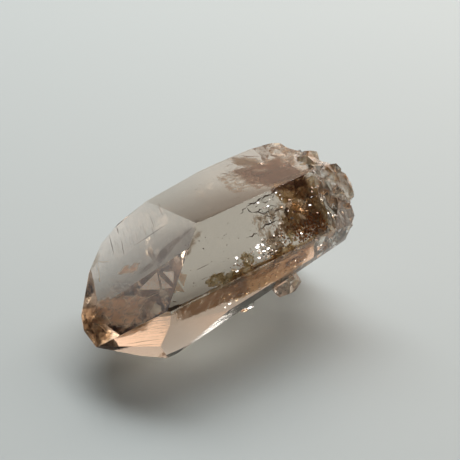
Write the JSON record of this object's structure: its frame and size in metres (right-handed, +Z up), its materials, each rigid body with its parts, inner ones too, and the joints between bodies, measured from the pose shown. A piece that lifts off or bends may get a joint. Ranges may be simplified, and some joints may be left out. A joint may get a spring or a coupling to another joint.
{
  "type": "smoky quartz crystal",
  "caption": "Pale smoky quartz crystal lying on its side, with flat prism and tip faces, a broken lumpy base and clay-stained inclusions near the base.",
  "frame": {"origin": "centre of the crystal's footprint, on the plane it rests on", "axes": "+Z up; the crystal lies with its tip towards -X -Y and slightly down, and its broken base towards +X +Y"},
  "size_m": [0.0468, 0.0492, 0.028],
  "materials": {
    "smoky_quartz": "naturally glossy, transparent"
  },
  "bodies": {
    "root": {"crystal": "smoky_quartz"}
  },
  "joints": []
}
